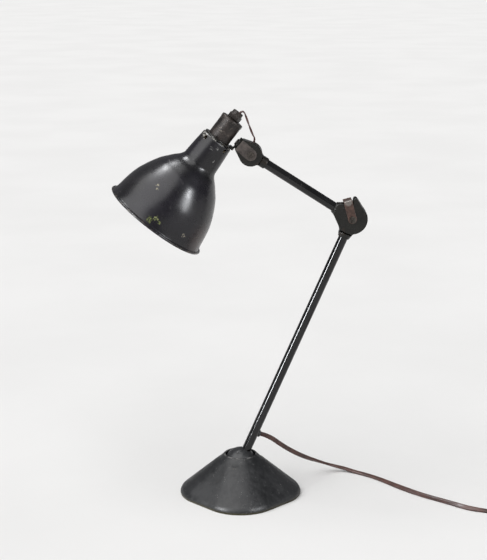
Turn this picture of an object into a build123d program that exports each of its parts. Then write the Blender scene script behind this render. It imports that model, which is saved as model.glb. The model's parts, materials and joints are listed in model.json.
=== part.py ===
from build123d import *
from math import cos, pi, radians, sin, tan
import os

# Adjustable desk lamp: cast pyramid base, ball foot, two tubular arms, spun shade, bayonet lampholder.
# Millimetres, +Z up. The origin is the middle of the felt's underside. The arms stand in the XZ plane:
# they lean toward +X from the base and come back toward -X to the shade.

# Clearances
seat_gap = 0.05       # a piece and the seat it rests in
running = 0.05        # radial, a shaft in its hole
face_gap = 0.05       # between flat faces that rub
ball_gap = 0.3        # around the ball, in its seat and its cup
overlap = 1           # how far a cut or a boss runs past the face that it meets

# Ball foot and what presses it up into the base
ball_r = 22
plate_thick = 3
plate_top = 8
spring_room = 7       # between the bridge plate and the cup
cup_floor = 7         # under the ball
cup_bottom = plate_top + spring_room
ball_z = cup_bottom + cup_floor + ball_r
cup_top = ball_z - 15
cup_r = ball_r - 4
bore_gap = 0.6        # around the ball, below its seat
opening_r = ball_r - 1.4
plate_width = 18
boss_x = 34
boss_r = 6
foot_screw_r = 2
foot_screw_length = 15
foot_hole_deep = 14
foot_head_r = 3.6
foot_head = 2.4
spring_r = 9
spring_wire = 0.8
spring_pitch = 2.2

# Base: a square with round corners, turned so that a corner faces the front
base_side = 150
base_corner = 54
base_height = ball_z + 14   # to the lip around the ball
base_turn = 45
base_band = 5         # upright edge under the slopes
base_wall = 9
lip_r = opening_r + 1.8
lip_corner = lip_r - 0.1    # the lip is round: its square's corners leave almost no straight side
felt_thick = 2
felt_inset = 0.8
cavity_top = ball_z - 10
cavity_roof = 72      # side of the cavity's roof
cavity_corner = 24

# Arms: straight tubes, from the ball to the elbow and from the elbow to the head hinge
tube_r = 6.35
tube_wall = 1.2
lower_length = 376.2
lower_lean = 23.3     # from upright toward +X
upper_length = 160.3
upper_lean = -57.5
tube_in_ball = 8      # the tube's lower end, from the ball's centre
flex_r = 3
flex_gap = 0.2        # between the flex and the tube that it lies in
flex_short = 2        # the flex ends this far inside its tube

# Where the mains cord leaves the lower arm
exit_along = 48       # from the ball's centre
exit_turn = 30        # from the arms' plane toward the back
exit_hole_r = 4
grommet_r = 5
grommet_out = tube_r + 1.85   # its outer end, from the tube's axis
grommet_in = tube_r - tube_wall - 0.55
cord_r = 3.25
cord_gap = 0.1        # around the cord in its grommet
cord_in = 0.2         # the cord starts this far outside the grommet's inner end
cord_straight = 24    # the cord's first straight run

# Elbow: a tongue on the lower arm between the cheeks of a fork on the upper arm
socket_r = tube_r + 1.65
elbow_socket = 28.5   # the sockets' open ends, from the pivot
tube_in_socket = 6
elbow_tongue_r = 19.5
elbow_tongue = 8      # thickness
cheek_r = 20.4
cheek = 5             # thickness
washer = 0.8
elbow_washer_r = 17
neck = 14
neck_long = 4
web_gap = 1           # between the tongue's edge and the web of the fork
elbow_pin_r = 3
elbow_head_r = 4.6
elbow_head = 2.6
elbow_nut = 10        # across flats
elbow_nut_thick = 4
pin_proud = 1         # a pin's end, past its nut
driver_slot = 1
ear_r = 3.2
ear_reach = 25.2
ear_lean = 10
ear_root_r = 9
ear_root_lean = 45
strap = 11.5          # width
strap_thick = 2.2
strap_round = 1.7
strap_reach = 26
strap_lean = -15

# Head hinge: a tongue on the upper arm between the cheeks of the head block
head_socket_r = tube_r + 1.4
head_socket = 24.5
tube_in_head = 7
head_socket_gap = 0.6 # between the socket and the cheeks' rims
head_neck = 13
head_neck_long = 2
pod_r = 15.6
pod_cheek = 5
head_tongue_r = 14.5
head_tongue = 7
head_slot_r = 15.2
head_slot_top = 6     # the slot's top beside the tongue, from the head hinge
head_washer_r = 12
head_washer = 0.7
head_pin_r = 2.5
head_screw_r = 4
head_screw_head = 2
head_nut = 8
head_nut_thick = 3
block_lean = -48.6
block_width = 16.8
block_end = 20.5      # from the head hinge
block_edge = 2
blank_width = 16
blank_thick = 1.2
blank_end = 20.1      # from the head hinge
stem_r = 2.5
stem_in = 5           # how deep the stem goes into the block
stem_head_r = 4.5
stem_head = 1.5
flange_thick = 3.2
lead_r = 1.6
lead_hole_r = 1.8
lead_hole_turn = 17.6 # from upright toward +X, about the head hinge
lead_hole_deep = 4.5
lead_end_gap = 1      # between the lead's end and the hole's bottom
lead_straight = 8     # the lead's last straight run

# Bayonet lampholder, on the shade's axis
skirt_r = 14.3
skirt_drop = 18
socket_bore = 11.2
relief_r = 12         # of the room that the contacts stand in, over the bore
relief_drop = 1
barrel_r = skirt_r + 1.2
barrel_top = 27
barrel_bore = skirt_r - 1.1
insulator_seat = 4
insulator_thick = 9
cap_r = barrel_r + 0.4
cap_top = 31
cap_wall = 2
cap_edge = 0.8
spigot_r = 6.5
spigot = 2
cap_hole_r = 3
gland_r = spigot_r + 1
gland_base = 33
gland_top = 44
lead_offset = 2       # the lead's hole in the gland, from the axis
lead_in = 4           # how deep the lead goes into the gland
clamp_r = skirt_r + 3.3
clamp_thick = 6
slot_width = 2.8
slot_length = 9
hook_long = 3 * slot_width
contact_reach = 5.5   # each contact's distance from the axis
contact_floor = 2     # of the insulator under the plunger's shoulder
contact_roof = 1      # of the insulator over the spring
plunger_r = 2.05
plunger_shoulder_r = 2.7
plunger_shoulder = 1.2
plunger_tip = -0.5
plunger_spring_r = 2.1
plunger_wire = 0.3
plunger_pitch = 1
terminal_r = 2
terminal_high = 2.5
side_pin_r = 1.15
side_screw_r = 1.75
side_screw_head = 0.9
side_screw_rise = 11.4
side_screw_turn = 14

# Shade and carrier ring. The ring's centre is found from the head hinge.
ring_r = skirt_r + 6
ring_thick = 2
shade_lean = 37.5
hinge_reach = ring_r + 25.8   # from the shade's axis to the head hinge
hinge_rise = 9.8      # from the ring up to the head hinge
tab_width = 10
tab_start = ring_r - 3
tab_reach = ring_r + 3.7
tab_rise = 4
sheet = 0.8
shoulder_r = skirt_r + 7.7
shoulder_round = 2.5
shoulder_turn = 85
neck_foot_r = shoulder_r + 3
neck_foot = 41
bowl = ((3.4, 46.2), (9, 52), (22, 68), (36.3, 97), (42.8, 128))   # radius past the neck's foot, and drop
rim_r = neck_foot_r + 45
rim_drop = 137
rim_way = (0.25, -1)
bead_r = 1.7
vent_r = 2.75
vent_drop = 6.5
vent_turn = 45
vent_run = 10         # each hole's length through the shoulder

# Coil of spare cord: two turns wide and three high
floor_gap = 0.05      # under what lies on the table
coil_x = 397
coil_y = -62
coil_mid_r = 35.8
coil_wide = 4 * cord_r
coil_high = 6 * cord_r

# Plug: three flat pins, lying on its back with the pins up
plug_x = 427
plug_y = 28           # its cord end
plug_long = 52
plug_wide = 50
plug_cover_thick = 13
plug_wall = 2.5
plug_back = 3
plug_back_round = 3
plug_face_thick = 6
plug_round = 10
pin_thick = 3.97
pin_wide = 6.35
pin_long = 17.7
earth_wide = 7.92
earth_long = 22.7
pin_pitch = 22.23
pin_inset = 14        # the two short pins, from the cord's end of the plug
cord_height = 8       # of the cord in the plug
sleeve_long = 24
sleeve_r = 5.2
sleeve_tip_r = 3.9
plug_screw_r = 3.2
plug_screw_head = 3
plug_screw_recess = 1
plug_screw_shank_r = 2.2
plug_screw_inset = 24 # from the cord's end of the plug


def leaning(origin, lean):
    """A frame at origin: Y across the lamp, Z leaning from upright toward +X."""
    a = radians(lean)
    return Plane(origin=origin, x_dir=(cos(a), 0, -sin(a)), z_dir=(sin(a), 0, cos(a)))


def side(frame, out=0):
    """The frame's XZ plane seen from the front, moved forward by out. Its X and Y are the frame's X and Z."""
    return Plane(origin=frame.origin - frame.y_dir * out, x_dir=frame.x_dir, z_dir=-frame.y_dir)


def axis_of(frame):
    return Axis(frame.origin, frame.z_dir)


def hinge_pin(frame, pin_r, head_r, head_thick, front, back):
    """A slotted screw across the frame: its head starts at front, and its pin ends at back, behind."""
    with BuildPart() as screw:
        with BuildSketch(side(frame, -back)):
            Circle(pin_r)
        extrude(amount=back + front)
        with BuildSketch(side(frame, front)):
            Circle(head_r)
        extrude(amount=head_thick)
        with BuildSketch(side(frame, front + head_thick / 2)):
            Rectangle(2 * head_r, driver_slot)
        extrude(amount=head_thick, mode=Mode.SUBTRACT)
    return screw.part


def save(piece, name):
    piece.label = name
    export_step(piece, "parts/" + name + ".step")


def corner_radii(points):
    """The radius at each corner of a cord's route: 0.45 of the shorter run, over the half turn's tangent."""
    radii = []
    for a, b, c in zip(points, points[1:], points[2:]):
        before = b - a
        after = c - b
        half_turn = radians(before.get_angle(after)) / 2
        radii.append(0.45 * min(before.length, after.length) / tan(half_turn))
    return radii


os.makedirs("parts", exist_ok=True)

# Frames and joint centres
lower = leaning((0, 0, ball_z), lower_lean)
elbow = lower.origin + lower.z_dir * lower_length
elbow_lower = leaning(elbow, lower_lean)
elbow_upper = leaning(elbow, upper_lean)
head = elbow + elbow_upper.z_dir * upper_length
head_upper = leaning(head, upper_lean)
block = leaning(head, block_lean)
shade_way = leaning(head, shade_lean)
ring_centre = head - shade_way.x_dir * hinge_reach - shade_way.z_dir * hinge_rise
shade = leaning(ring_centre, shade_lean)

# ---------------------------------------------------------------- base

with BuildPart() as base_casting:
    with BuildSketch(Plane.XY.offset(felt_thick)):
        RectangleRounded(base_side, base_side, base_corner, rotation=base_turn)
    extrude(amount=base_band)
    with BuildSketch(Plane.XY.offset(felt_thick + base_band)):
        RectangleRounded(base_side, base_side, base_corner, rotation=base_turn)
    with BuildSketch(Plane.XY.offset(base_height)):
        RectangleRounded(2 * lip_r, 2 * lip_r, lip_corner, rotation=base_turn)
    loft(ruled=True)
    with BuildSketch(Plane.XY.offset(felt_thick)):
        inner = base_side - 2 * base_wall
        RectangleRounded(inner, inner, base_corner - base_wall, rotation=base_turn)
    with BuildSketch(Plane.XY.offset(cavity_top)):
        RectangleRounded(cavity_roof, cavity_roof, cavity_corner, rotation=base_turn)
    loft(ruled=True, mode=Mode.SUBTRACT)
    # bosses for the bridge plate's screws
    with BuildSketch(Plane.XY.offset(plate_top)):
        with Locations((-boss_x, 0), (boss_x, 0)):
            Circle(boss_r)
    extrude(amount=cavity_top + overlap - plate_top)
    with BuildSketch(Plane.XY.offset(plate_top)):
        with Locations((-boss_x, 0), (boss_x, 0)):
            Circle(foot_screw_r + seat_gap)
    extrude(amount=foot_hole_deep, mode=Mode.SUBTRACT)
    # the ball's bore, its round seat and the opening above it
    with BuildSketch(Plane.XY.offset(cavity_top - overlap)):
        Circle(ball_r + bore_gap)
    extrude(amount=ball_z - cavity_top + overlap, mode=Mode.SUBTRACT)
    with Locations((0, 0, ball_z)):
        Sphere(ball_r + ball_gap, mode=Mode.SUBTRACT)
    with BuildSketch(Plane.XY.offset(ball_z)):
        Circle(opening_r)
    extrude(amount=base_height - ball_z + overlap, mode=Mode.SUBTRACT)
save(base_casting.part, "base_casting")

with BuildPart() as base_felt:
    with BuildSketch():
        pad = base_side - 2 * felt_inset
        RectangleRounded(pad, pad, base_corner - felt_inset, rotation=base_turn)
    extrude(amount=felt_thick)
save(base_felt.part, "base_felt")

with BuildPart() as bridge_plate:
    with BuildSketch(Plane.XY.offset(plate_top - plate_thick)):
        SlotCenterToCenter(2 * boss_x, plate_width)
        with Locations((-boss_x, 0), (boss_x, 0)):
            Circle(foot_screw_r + seat_gap, mode=Mode.SUBTRACT)
    extrude(amount=plate_thick)
save(bridge_plate.part, "bridge_plate")

with BuildPart() as bridge_screws:
    with BuildSketch(Plane.XY.offset(plate_top - plate_thick - foot_head)):
        with Locations((-boss_x, 0), (boss_x, 0)):
            Circle(foot_head_r)
    extrude(amount=foot_head)
    with BuildSketch(Plane.XY.offset(plate_top - plate_thick)):
        with Locations((-boss_x, 0), (boss_x, 0)):
            Circle(foot_screw_r)
    extrude(amount=foot_screw_length)
save(bridge_screws.part, "bridge_screws")

with BuildPart() as pressure_cup:
    with BuildSketch(Plane.XY.offset(cup_bottom)):
        Circle(cup_r)
    extrude(amount=cup_top - cup_bottom)
    with Locations((0, 0, ball_z)):
        Sphere(ball_r + ball_gap, mode=Mode.SUBTRACT)
save(pressure_cup.part, "pressure_cup")

with BuildPart() as cup_spring:
    coil_start = plate_top + seat_gap + spring_wire
    coil_height = cup_bottom - plate_top - 2 * (seat_gap + spring_wire)
    with BuildLine() as coil_line:
        Helix(spring_pitch, coil_height, spring_r, center=(0, 0, coil_start))
    with BuildSketch(Plane(origin=coil_line.line @ 0, z_dir=coil_line.line % 0)):
        Circle(spring_wire)
    sweep()
save(cup_spring.part, "cup_spring")

# ---------------------------------------------------------------- lower arm

with BuildPart() as ball:
    with Locations((0, 0, ball_z)):
        Sphere(ball_r)
    with BuildSketch(lower.offset(tube_in_ball)):
        Circle(tube_r + seat_gap)
    extrude(amount=ball_r, mode=Mode.SUBTRACT)
save(ball.part, "ball")

out_a = radians(exit_turn)
exit_origin = lower.origin + lower.z_dir * exit_along
exit_way = lower.x_dir * cos(out_a) + lower.y_dir * sin(out_a)
cord_exit = Plane(origin=exit_origin, x_dir=lower.z_dir, z_dir=exit_way)

elbow_bore = elbow_socket - tube_in_socket   # each tube's end at the elbow, from the pivot
with BuildPart() as lower_tube:
    with BuildSketch(lower.offset(tube_in_ball)):
        Circle(tube_r)
        Circle(tube_r - tube_wall, mode=Mode.SUBTRACT)
    extrude(amount=lower_length - elbow_bore - tube_in_ball)
    with BuildSketch(cord_exit):
        Circle(exit_hole_r)
    extrude(amount=2 * tube_r, mode=Mode.SUBTRACT)
save(lower_tube.part, "lower_tube")

with BuildPart() as cord_grommet:
    with BuildSketch(cord_exit.offset(grommet_in)):
        Circle(grommet_r)
    extrude(amount=grommet_out - grommet_in)
    with BuildSketch(lower):
        Circle(tube_r + seat_gap)
    extrude(amount=2 * exit_along, mode=Mode.SUBTRACT)
    with BuildSketch(cord_exit.offset(grommet_in)):
        Circle(exit_hole_r - seat_gap)
    extrude(amount=grommet_out - grommet_in)
    with BuildSketch(cord_exit):
        Circle(cord_r + cord_gap)
    extrude(amount=2 * grommet_out, mode=Mode.SUBTRACT)
save(cord_grommet.part, "cord_grommet")

flex_seat = tube_r - tube_wall - flex_r - flex_gap   # the flex lies against the tube's lower side
with BuildPart() as lower_flex:
    flex_start = exit_along + 2 * exit_hole_r
    with BuildSketch(lower.offset(flex_start)):
        with Locations((flex_seat, 0)):
            Circle(flex_r)
    extrude(amount=lower_length - elbow_bore - flex_short - flex_start)
save(lower_flex.part, "lower_flex")

with BuildPart() as lower_knuckle:
    with BuildSketch(side(elbow_lower)):
        Circle(elbow_tongue_r)
        with Locations((0, -cheek_r - neck_long / 2)):
            Rectangle(neck, neck_long)
        make_hull()
    extrude(amount=elbow_tongue / 2, both=True)
    with BuildSketch(elbow_lower.offset(-elbow_socket)):
        Circle(socket_r)
    extrude(amount=elbow_socket - cheek_r - overlap)
    with BuildSketch(elbow_lower.offset(-elbow_socket)):
        Circle(tube_r + seat_gap)
    extrude(amount=tube_in_socket, mode=Mode.SUBTRACT)
    with BuildSketch(side(elbow_lower)):
        Circle(elbow_pin_r + running)
    extrude(amount=elbow_tongue, both=True, mode=Mode.SUBTRACT)
save(lower_knuckle.part, "lower_knuckle")

# ---------------------------------------------------------------- elbow and upper arm

fork_in = elbow_tongue / 2 + washer + 2 * face_gap   # each cheek's inner face, from the arms' plane
fork_out = fork_in + cheek

with BuildPart() as elbow_washers:
    with BuildSketch(side(elbow_upper, elbow_tongue / 2 + face_gap)):
        Circle(elbow_washer_r)
        Circle(elbow_pin_r + running, mode=Mode.SUBTRACT)
    extrude(amount=washer)
    mirror(about=Plane.XZ)
save(elbow_washers.part, "elbow_washers")

strap_frame = leaning(elbow, strap_lean)
with BuildPart() as upper_fork:
    with BuildSketch(side(elbow_upper, fork_in)):
        Circle(cheek_r)
        with Locations((0, elbow_socket - neck_long)):
            Rectangle(neck, neck_long)
        make_hull()
    extrude(amount=cheek)
    with BuildSketch(side(leaning(elbow, 0), fork_in)):
        with Locations((ear_reach * sin(radians(ear_lean)), ear_reach * cos(radians(ear_lean)))):
            Circle(ear_r)
        root_out = cheek_r - ear_root_r
        with Locations((root_out * sin(radians(ear_root_lean)), root_out * cos(radians(ear_root_lean)))):
            Circle(ear_root_r)
        make_hull()
    extrude(amount=cheek)
    mirror(about=Plane.XZ)
    # the web between the cheeks, the tube's socket, and the notch that the strap crosses
    web_start = elbow_tongue_r + web_gap
    web_end = elbow_socket - neck_long / 2
    with BuildSketch(side(elbow_upper)):
        with Locations((0, (web_start + web_end) / 2)):
            Rectangle(neck, web_end - web_start)
    extrude(amount=fork_in + cheek / 2, both=True)
    with BuildSketch(elbow_upper.offset(web_start + overlap)):
        Circle(socket_r)
    extrude(amount=elbow_socket - web_start - overlap)
    with BuildSketch(elbow_upper.offset(elbow_bore)):
        Circle(tube_r + seat_gap)
    extrude(amount=elbow_socket, mode=Mode.SUBTRACT)
    with BuildSketch(side(elbow_upper)):
        Circle(elbow_pin_r + running)
    extrude(amount=2 * fork_out, both=True, mode=Mode.SUBTRACT)
    with BuildSketch(side(strap_frame)):
        with Locations((0, strap_reach)):
            Rectangle(strap + 2 * seat_gap, 2 * (strap_thick + seat_gap))
    extrude(amount=2 * fork_out, both=True, mode=Mode.SUBTRACT)
save(upper_fork.part, "upper_fork")

with BuildPart() as elbow_strap:
    with BuildSketch(side(strap_frame, fork_out)):
        Circle(strap / 2)
        with Locations((0, strap_reach / 2)):
            Rectangle(strap, strap_reach)
        Circle(elbow_pin_r + running, mode=Mode.SUBTRACT)
    extrude(amount=strap_thick)
    mirror(about=Plane.XZ)
    with BuildSketch(side(strap_frame)):
        with Locations((0, strap_reach - strap_thick / 2)):
            Rectangle(strap, strap_thick)
    extrude(amount=fork_out + strap_thick, both=True)
    fillet(elbow_strap.part.edges().filter_by(Axis(elbow, strap_frame.x_dir)).group_by(
        SortBy.DISTANCE)[-1], strap_round)
save(elbow_strap.part, "elbow_strap")

grip = fork_out + strap_thick
elbow_back = grip + elbow_nut_thick + pin_proud
elbow_screw = hinge_pin(elbow_upper, elbow_pin_r, elbow_head_r, elbow_head, grip, elbow_back)
save(elbow_screw, "elbow_screw")

with BuildPart() as elbow_nut_piece:
    with BuildSketch(side(elbow_upper, -grip - elbow_nut_thick)):
        RegularPolygon(elbow_nut / 2, 6, major_radius=False)
        Circle(elbow_pin_r + running, mode=Mode.SUBTRACT)
    extrude(amount=elbow_nut_thick)
save(elbow_nut_piece.part, "elbow_nut")

head_bore = head_socket - tube_in_head   # the upper tube's end, from the head hinge
with BuildPart() as upper_tube:
    with BuildSketch(elbow_upper.offset(elbow_bore)):
        Circle(tube_r)
        Circle(tube_r - tube_wall, mode=Mode.SUBTRACT)
    extrude(amount=upper_length - head_bore - elbow_bore)
save(upper_tube.part, "upper_tube")

with BuildPart() as upper_flex:
    with BuildSketch(elbow_upper.offset(elbow_bore + flex_short)):
        with Locations((-flex_seat, 0)):
            Circle(flex_r)
    extrude(amount=upper_length - head_bore - elbow_bore - 2 * flex_short)
save(upper_flex.part, "upper_flex")

with BuildPart() as head_tongue_piece:
    with BuildSketch(side(head_upper)):
        Circle(head_tongue_r)
        with Locations((0, -pod_r - head_neck_long / 2)):
            Rectangle(head_neck, head_neck_long)
        make_hull()
    extrude(amount=head_tongue / 2, both=True)
    with BuildSketch(head_upper.offset(-head_socket)):
        Circle(head_socket_r)
    extrude(amount=head_socket - pod_r - head_socket_gap)
    with BuildSketch(head_upper.offset(-head_socket)):
        Circle(tube_r + seat_gap)
    extrude(amount=tube_in_head, mode=Mode.SUBTRACT)
    with BuildSketch(side(head_upper)):
        Circle(head_pin_r + running)
    extrude(amount=head_tongue, both=True, mode=Mode.SUBTRACT)
save(head_tongue_piece.part, "head_tongue")

# ---------------------------------------------------------------- head block

pod_in = head_tongue / 2 + head_washer + 2 * face_gap
pod_out = pod_in + pod_cheek
lead_frame = leaning(head + Vector(0, pod_in + pod_cheek / 2, 0), lead_hole_turn)

with BuildPart() as head_block:
    with BuildSketch(side(block)):
        Circle(pod_r)
        with Locations((0, block_end - block_edge / 2)):
            Rectangle(block_width, block_edge)
        make_hull()
    extrude(amount=pod_out, both=True)
    with BuildSketch(side(block)):
        Circle(head_slot_r)
        with Locations((0, head_slot_top)):
            Rectangle(3 * pod_r, 3 * pod_r, align=(Align.CENTER, Align.MAX))
    extrude(amount=pod_in, both=True, mode=Mode.SUBTRACT)
    with BuildSketch(side(block)):
        Circle(head_pin_r + running)
    extrude(amount=2 * pod_out, both=True, mode=Mode.SUBTRACT)
    with BuildSketch(block.offset(block_end - stem_in)):
        Circle(stem_r + seat_gap)
    extrude(amount=stem_in + overlap, mode=Mode.SUBTRACT)
    with BuildSketch(lead_frame.offset(pod_r - lead_hole_deep)):
        Circle(lead_hole_r)
    extrude(amount=2 * lead_hole_deep, mode=Mode.SUBTRACT)
save(head_block.part, "head_block")

with BuildPart() as head_washers:
    with BuildSketch(side(block, head_tongue / 2 + face_gap)):
        Circle(head_washer_r)
        Circle(head_pin_r + running, mode=Mode.SUBTRACT)
    extrude(amount=head_washer)
    mirror(about=Plane.XZ)
save(head_washers.part, "head_washers")

with BuildPart() as blank_plate:
    with BuildSketch(side(block, pod_out)):
        Circle(blank_width / 2)
        with Locations((0, blank_end / 2)):
            Rectangle(blank_width, blank_end)
        Circle(head_pin_r + running, mode=Mode.SUBTRACT)
    extrude(amount=blank_thick)
save(blank_plate.part, "blank_plate")

head_back = pod_out + head_nut_thick + pin_proud
head_screw = hinge_pin(block, head_pin_r, head_screw_r, head_screw_head, pod_out + blank_thick, head_back)
save(head_screw, "head_screw")

with BuildPart() as head_nut_piece:
    with BuildSketch(side(block, -pod_out - head_nut_thick)):
        RegularPolygon(head_nut / 2, 6, major_radius=False)
        Circle(head_pin_r + running, mode=Mode.SUBTRACT)
    extrude(amount=head_nut_thick)
save(head_nut_piece.part, "head_nut")

flange_start = block_end + face_gap
with BuildPart() as swivel_stem:
    with BuildSketch(block.offset(block_end - stem_in)):
        Circle(stem_r)
    extrude(amount=stem_in + face_gap + flange_thick + face_gap)
    with BuildSketch(block.offset(flange_start + flange_thick + face_gap)):
        Circle(stem_head_r)
    extrude(amount=stem_head)
save(swivel_stem.part, "swivel_stem")

# ---------------------------------------------------------------- shade and its carrier

with BuildPart() as shade_carrier:
    with BuildSketch(shade.offset(-ring_thick / 2)):
        Circle(ring_r)
    extrude(amount=ring_thick)
    with BuildSketch(side(shade)):
        with Locations(((tab_start + tab_reach) / 2, (tab_rise - ring_thick) / 2)):
            Rectangle(tab_reach - tab_start, tab_rise)
    extrude(amount=tab_width / 2, both=True)
    with BuildSketch(block.offset(flange_start)):
        Circle(block_width / 2)
    extrude(amount=flange_thick)
    with BuildSketch(block.offset(flange_start - overlap)):
        Circle(stem_r + running)
    extrude(amount=flange_thick + 2 * overlap, mode=Mode.SUBTRACT)
    with BuildSketch(shade.offset(-ring_thick)):
        Circle(skirt_r + seat_gap)
    extrude(amount=2 * ring_thick, mode=Mode.SUBTRACT)
save(shade_carrier.part, "shade_carrier")

shade_top = -ring_thick / 2 - face_gap


def shade_profile(inset, top, foot):
    """The shade's side from its collar hole down to its rim, in radius and height, moved in by inset."""
    flat_end = shoulder_r - shoulder_round
    flat = Line((skirt_r + seat_gap, top), (flat_end, top))
    turn = JernArc(start=flat @ 1, tangent=(1, 0), radius=shoulder_round - inset, arc_size=-shoulder_turn)
    throat = Line(turn @ 1, (neck_foot_r - inset, -neck_foot))
    points = [(neck_foot_r + wider - inset, -drop) for wider, drop in bowl]
    Spline(throat @ 1, *points, (rim_r - inset, foot), tangents=[throat % 1, rim_way])
    return flat @ 0, (rim_r - inset, foot)


with BuildPart() as shade_shell:
    with BuildSketch(side(shade)):
        with BuildLine():
            outer_start, outer_end = shade_profile(0, shade_top, -rim_drop)
            inner_start, inner_end = shade_profile(sheet, shade_top - sheet, -rim_drop)
            Line(outer_start, inner_start)
            Line(outer_end, inner_end)
        make_face()
        with Locations((rim_r + bead_r - sheet, -rim_drop)):
            Circle(bead_r)
    revolve(axis=axis_of(shade))
    for turn_a in range(vent_turn, 360, 90):
        way = shade.x_dir * cos(radians(turn_a)) + shade.y_dir * sin(radians(turn_a))
        hole_at = shade.origin - shade.z_dir * vent_drop + way * (shoulder_r - vent_run / 2)
        with BuildSketch(Plane(origin=hole_at, x_dir=shade.z_dir, z_dir=way)):
            Circle(vent_r)
        extrude(amount=vent_run, mode=Mode.SUBTRACT)
save(shade_shell.part, "shade_shell")

with BuildPart() as shade_clamp_ring:
    with BuildSketch(shade.offset(shade_top - sheet - face_gap - clamp_thick)):
        Circle(clamp_r)
        Circle(skirt_r + seat_gap, mode=Mode.SUBTRACT)
    extrude(amount=clamp_thick)
save(shade_clamp_ring.part, "shade_clamp_ring")

# ---------------------------------------------------------------- lampholder

barrel_foot = ring_thick / 2 + face_gap
with BuildPart() as lampholder_barrel:
    with BuildSketch(shade.offset(-skirt_drop)):
        Circle(skirt_r)
    extrude(amount=skirt_drop + barrel_foot)
    with BuildSketch(shade.offset(barrel_foot)):
        Circle(barrel_r)
    extrude(amount=barrel_top - barrel_foot)
    with BuildSketch(shade.offset(-skirt_drop)):
        Circle(socket_bore)
    extrude(amount=skirt_drop - relief_drop, mode=Mode.SUBTRACT)
    with BuildSketch(shade.offset(-relief_drop)):
        Circle(relief_r)
    extrude(amount=relief_drop + insulator_seat, mode=Mode.SUBTRACT)
    with BuildSketch(shade.offset(insulator_seat)):
        Circle(barrel_bore)
    extrude(amount=barrel_top, mode=Mode.SUBTRACT)
    # the two hooked slots that take a bulb's pins
    for sign in (-1, 1):
        way = shade.x_dir * sign
        with BuildSketch(Plane(origin=shade.origin - shade.z_dir * skirt_drop, x_dir=shade.z_dir, z_dir=way)):
            with Locations((slot_length / 2, 0)):
                Rectangle(slot_length, slot_width)
            with Locations((slot_length - slot_width / 2, slot_width)):
                Rectangle(slot_width, hook_long)
        extrude(amount=skirt_r + overlap, mode=Mode.SUBTRACT)
    screw_a = radians(side_screw_turn)
    screw_way = -shade.y_dir * cos(screw_a) - shade.x_dir * sin(screw_a)
    screw_frame = Plane(origin=shade.origin + shade.z_dir * side_screw_rise, x_dir=shade.z_dir, z_dir=screw_way)
    with BuildSketch(screw_frame.offset(barrel_bore - overlap)):
        Circle(side_pin_r + seat_gap)
    extrude(amount=barrel_r - barrel_bore + 2 * overlap, mode=Mode.SUBTRACT)
save(lampholder_barrel.part, "lampholder_barrel")

with BuildPart() as barrel_screw:
    with BuildSketch(screw_frame.offset(barrel_bore + seat_gap)):
        Circle(side_pin_r)
    extrude(amount=barrel_r - barrel_bore)
    with BuildSketch(screw_frame.offset(barrel_r)):
        Circle(side_screw_r)
    extrude(amount=side_screw_head)
save(barrel_screw.part, "barrel_screw")

insulator_foot = insulator_seat + face_gap
contact_frames = [Plane(origin=shade.origin + shade.y_dir * contact_reach * sign,
                        x_dir=shade.x_dir, z_dir=shade.z_dir) for sign in (-1, 1)]
contact_step = insulator_foot + contact_floor
spring_top = insulator_foot + insulator_thick - contact_roof
with BuildPart() as insulator:
    with BuildSketch(shade.offset(insulator_foot)):
        Circle(barrel_bore - seat_gap)
    extrude(amount=insulator_thick)
    for frame in contact_frames:
        with BuildSketch(frame):
            Circle(plunger_r + running)
        extrude(amount=contact_step + overlap, mode=Mode.SUBTRACT)
        with BuildSketch(frame.offset(contact_step)):
            Circle(plunger_shoulder_r + running)
        extrude(amount=spring_top - contact_step, mode=Mode.SUBTRACT)
save(insulator.part, "insulator")

shoulder_top = contact_step + face_gap + plunger_shoulder
for name, frame in zip(("front", "back"), contact_frames):
    with BuildPart() as plunger:
        with BuildSketch(frame.offset(plunger_tip)):
            Circle(plunger_r)
        extrude(amount=shoulder_top - plunger_tip)
        with BuildSketch(frame.offset(contact_step + face_gap)):
            Circle(plunger_shoulder_r)
        extrude(amount=plunger_shoulder)
    save(plunger.part, "contact_plunger_" + name)
    with BuildPart() as plunger_spring:
        wire_start = shoulder_top + plunger_wire + seat_gap
        with BuildLine() as wire_line:
            Helix(plunger_pitch, spring_top - wire_start - plunger_wire - seat_gap, plunger_spring_r,
                  center=frame.offset(wire_start).origin, direction=frame.z_dir)
        with BuildSketch(Plane(origin=wire_line.line @ 0, z_dir=wire_line.line % 0)):
            Circle(plunger_wire)
        sweep()
    save(plunger_spring.part, "contact_spring_" + name)

with BuildPart() as terminal_screws:
    with BuildSketch(shade.offset(insulator_foot + insulator_thick)):
        with Locations((0, -contact_reach), (0, contact_reach)):
            Circle(terminal_r)
    extrude(amount=terminal_high)
save(terminal_screws.part, "terminal_screws")

with BuildPart() as lampholder_cap:
    with BuildSketch(side(shade)):
        with BuildLine():
            Polyline((barrel_bore, barrel_top), (cap_r, barrel_top), (cap_r, cap_top),
                     (cap_r - cap_edge, cap_top + cap_edge), (spigot_r, gland_base),
                     (spigot_r, gland_base + spigot), (cap_hole_r, gland_base + spigot), (cap_hole_r, cap_top),
                     (barrel_bore, cap_top - cap_wall), (barrel_bore, barrel_top))
        make_face()
    revolve(axis=axis_of(shade))
save(lampholder_cap.part, "lampholder_cap")

with BuildPart() as cord_gland:
    with BuildSketch(shade.offset(gland_base + face_gap)):
        Circle(gland_r)
    extrude(amount=gland_top - gland_base - face_gap)
    with BuildSketch(shade.offset(gland_base)):
        Circle(spigot_r + seat_gap)
    extrude(amount=spigot + face_gap, mode=Mode.SUBTRACT)
    with BuildSketch(shade.offset(gland_base)):
        with Locations((lead_offset, 0)):
            Circle(lead_hole_r)
    extrude(amount=gland_top, mode=Mode.SUBTRACT)
save(cord_gland.part, "cord_gland")

# ---------------------------------------------------------------- head lead

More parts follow.
